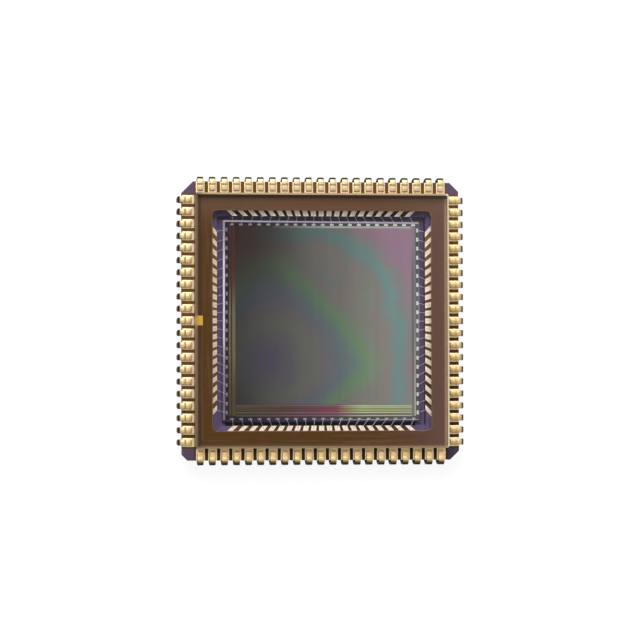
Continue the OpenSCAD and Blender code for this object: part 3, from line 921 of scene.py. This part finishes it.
# Painted highlight on the right seal line, fading to both corners.
right_painted_highlight = silicon.levels(along, [(0.0, 0), (0.3, 0.25), (0.5, 0.6), (0.7, 0.5), (0.9, 0.2)])
skin = silicon.mix(
    silicon.both(silicon.patch(*SEAL_RIGHT), right_painted_highlight), skin, tone(166, 162, 178)
)
silicon.set(Base_Color=skin)
dress(["sensor_die"], silicon)

# %% [markdown]
# The window is a plain clear plate, cut from a larger one, so its side faces and bevels are
# ground and pale. Their golden tone is a painted reflection of the gold round them, and their
# paleness, which grows from the left edge to the right one, is painted light. Its large faces
# are coated, as on most sensor windows, so they mirror far less than bare glass. Light has to
# reach the die through it, so the material bends the rays that the camera sees but lets the
# lamps' rays pass straight. The ground edge stops half of them.

# %% Finish the glass
GROUND_EDGE = 0.20
GROUND_SHINE, COATED_SHINE = 0.5, 0.12
RIGHT_EDGE_PAINTED_HIGHLIGHT = (12.9, 13.1)
EDGE_STOPS = 0.5
CLEAR = (0.97, 0.985, 0.975, 1)
glass = Finish("window_glass", IOR=1.5, Base_Color=CLEAR)
outward, _ = glass.from_centre()
ground = glass.blend(outward, HALF_TIER - GROUND_EDGE - 0.02, HALF_TIER - GROUND_EDGE + 0.02)
# Painted light: the ground edges grow paler from the left edge to the right one.
paleness_and_painted_light = glass.blend(glass.x, -13.2, -12.0, 0.1, 0.55)
paleness_and_painted_light = glass.math("ADD", paleness_and_painted_light, glass.blend(glass.x, *RIGHT_EDGE_PAINTED_HIGHLIGHT, 0.0, 0.45))
# Painted reflection: the golden tone of the ground edges.
ground_painted_reflection = glass.mix(
    glass.blend(glass.x, *RIGHT_EDGE_PAINTED_HIGHLIGHT), tone(224, 190, 140), tone(255, 236, 196)
)
glass.set(
    Roughness=glass.math("MULTIPLY", ground, 0.5),
    Specular_IOR_Level=glass.math(
        "MULTIPLY_ADD", ground, GROUND_SHINE - COATED_SHINE, COATED_SHINE
    ),
    Transmission_Weight=glass.math("SUBTRACT", 1.0, glass.both(ground, paleness_and_painted_light)),
    Base_Color=glass.mix(ground, CLEAR, ground_painted_reflection),
)
lamp_ray = glass.node("ShaderNodeLightPath").outputs["Is Shadow Ray"]
lamp_ray = glass.both(lamp_ray, glass.math("MULTIPLY_ADD", ground, -EDGE_STOPS, 1.0))
clear = glass.node("ShaderNodeBsdfTransparent").outputs[0]
glass.join(glass.layer(lamp_ray, glass.shader.outputs[0], clear), glass.output.inputs["Surface"])
dress(["glass_window"], glass)

# %% [markdown]
# The floor is a pale plane that shows a soft shadow. It could be lit until it looks white, but
# that would bleach the chip as well. So its own colour is a plain grey, and it glows only for
# the rays that the camera, metal and glass send out.

# %% Lay the floor
FLOOR_SIZE = 1.2
FLOOR_GREY, FLOOR_GLOW = 0.16, 0.9
floor_mesh = bmesh.new()
bmesh.ops.create_grid(floor_mesh, x_segments=1, y_segments=1, size=FLOOR_SIZE / 2)
floor_data = bpy.data.meshes.new("floor")
floor_mesh.to_mesh(floor_data)
floor_mesh.free()
floor = bpy.data.objects.new("floor", floor_data)
bpy.context.scene.collection.objects.link(floor)
paper = Finish("pale_paper", Roughness=0.9, Specular_IOR_Level=0.1)
paper.set(Base_Color=(FLOOR_GREY, FLOOR_GREY, FLOOR_GREY, 1), Emission_Color=(1, 1, 1, 1))
path = paper.node("ShaderNodeLightPath").outputs
seen = paper.math("MAXIMUM", path["Is Glossy Ray"], path["Is Transmission Ray"])
seen = paper.math("MAXIMUM", path["Is Camera Ray"], seen)
paper.set(Emission_Strength=paper.math("MULTIPLY", seen, FLOOR_GLOW))
floor_data.materials.append(paper.material)
print("the floor is", FLOOR_SIZE, "m wide")

# %% [markdown]
# One large soft lamp stands behind the chip and a little to the left. It leaves the rear shelf
# in shade and lights the front one, as in the photograph. Its watts follow from its place and
# from the level at which a colour renders about as it is written.

# %% Hang the lamp
KEY_PLACE = Vector((-0.09, 0.37, 0.47))
KEY_SIZE = 0.36
KEY_LEVEL = 0.67
lamp = bpy.data.lights.new("rear_softbox", "AREA")
lamp.size = KEY_SIZE
lamp.energy = KEY_LEVEL * math.pi ** 2 * KEY_PLACE.length ** 3 / KEY_PLACE.z
softbox = bpy.data.objects.new("rear_softbox", lamp)
bpy.context.scene.collection.objects.link(softbox)
softbox.location = KEY_PLACE
softbox.rotation_euler = (-KEY_PLACE).to_track_quat("-Z", "Y").to_euler()
print("the lamp has", round(lamp.energy, 2), "watts")

# %% [markdown]
# The sky is white where the camera sees it. Metal and glass mirror another one: bright at the
# rear, dim at the front, dimmer at the sides than in the middle, white near the floor, and dark
# overhead, where the camera hangs. Light that was scattered once finds an even grey, which fills
# the shadows.

# %% Set the sky
AMBIENT = 0.3
DIM_FRONT, BRIGHT_REAR = 0.5, 1.2
DIM_SIDES = 0.6
OVERHEAD, DARK_OVERHEAD = (0.976, 0.99), 0.12
world = bpy.data.worlds.new("studio")
bpy.context.scene.world = world
world.use_nodes = True
world.node_tree.nodes.clear()
sky = NodeTree(world.node_tree)
rays = sky.node("ShaderNodeLightPath").outputs
way = sky.node("ShaderNodeTexCoord").outputs["Generated"]
toward_x, toward_y, toward_z = sky.node("ShaderNodeSeparateXYZ", Vector=way).outputs
toward_rear = sky.math("MULTIPLY_ADD", toward_x, 0.5, toward_y)
dome = sky.blend(toward_rear, -0.7, 0.3, DIM_FRONT, BRIGHT_REAR)
dome = sky.both(dome, sky.blend(sky.math("ABSOLUTE", toward_x), 0.3, 0.9, 1.0, DIM_SIDES))
dome = sky.math("MAXIMUM", dome, sky.blend(toward_z, 0.05, 0.2, 1.0, 0.0))
dome = sky.both(dome, sky.blend(toward_z, *OVERHEAD, 1.0, DARK_OVERHEAD))


def plain_light(strength):
    """White light of one strength, or of a strength that nodes work out."""
    return sky.node("ShaderNodeBackground", Color=(1, 1, 1, 1), Strength=strength).outputs[0]


scattered = sky.math("GREATER_THAN", rays["Diffuse Depth"], 0.5)
mirrored = sky.math("GREATER_THAN", rays["Glossy Depth"], 0.5)
light = sky.layer(mirrored, plain_light(1.0), plain_light(dome))
light = sky.layer(scattered, light, plain_light(AMBIENT))
output = sky.node("ShaderNodeOutputWorld")
sky.join(light, output.inputs["Surface"])
bpy.context.scene.view_settings.view_transform = "Standard"
print("the sky has", len(world.node_tree.nodes), "nodes")
